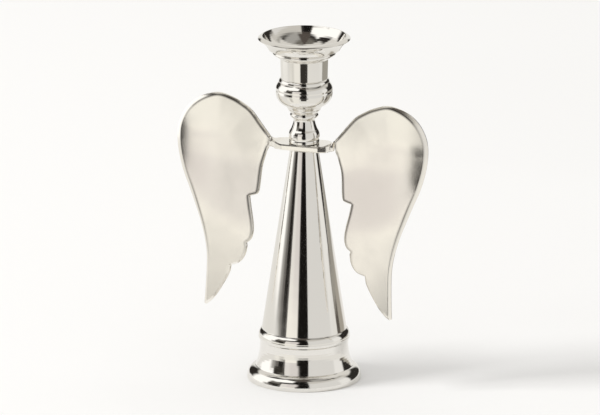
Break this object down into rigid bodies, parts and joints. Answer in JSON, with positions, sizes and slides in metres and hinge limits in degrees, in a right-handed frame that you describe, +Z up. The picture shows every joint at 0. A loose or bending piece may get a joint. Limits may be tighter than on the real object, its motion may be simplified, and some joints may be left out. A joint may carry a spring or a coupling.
{
  "type": "angel candle holder",
  "caption": "Table candle holder shaped as a winged angel: hollow cone skirt, cast wings on a bridge plate, and a turned cup with a drip dish and a taper candle socket.",
  "frame": {"origin": "on the axis of the cone, in the plane that the foot stands on", "axes": "+Z up along the cone's axis, X along the span of the wings, -Y the front that the wings' lower tips lean towards"},
  "size_m": [0.1488, 0.0648, 0.1998],
  "materials": {
    "polished_nickel": "polished nickel plate, mirror bright",
    "satin_nickel": "satin nickel plate over a finely pitted casting",
    "plated_steel": "zinc plated"
  },
  "bodies": {
    "root": {"skirt": "polished_nickel", "wing_bracket": "satin_nickel", "candle_cup": "polished_nickel", "stud": "plated_steel", "flat_washer": "plated_steel", "spring_washer": "plated_steel", "hex_nut": "plated_steel"}
  },
  "joints": []
}
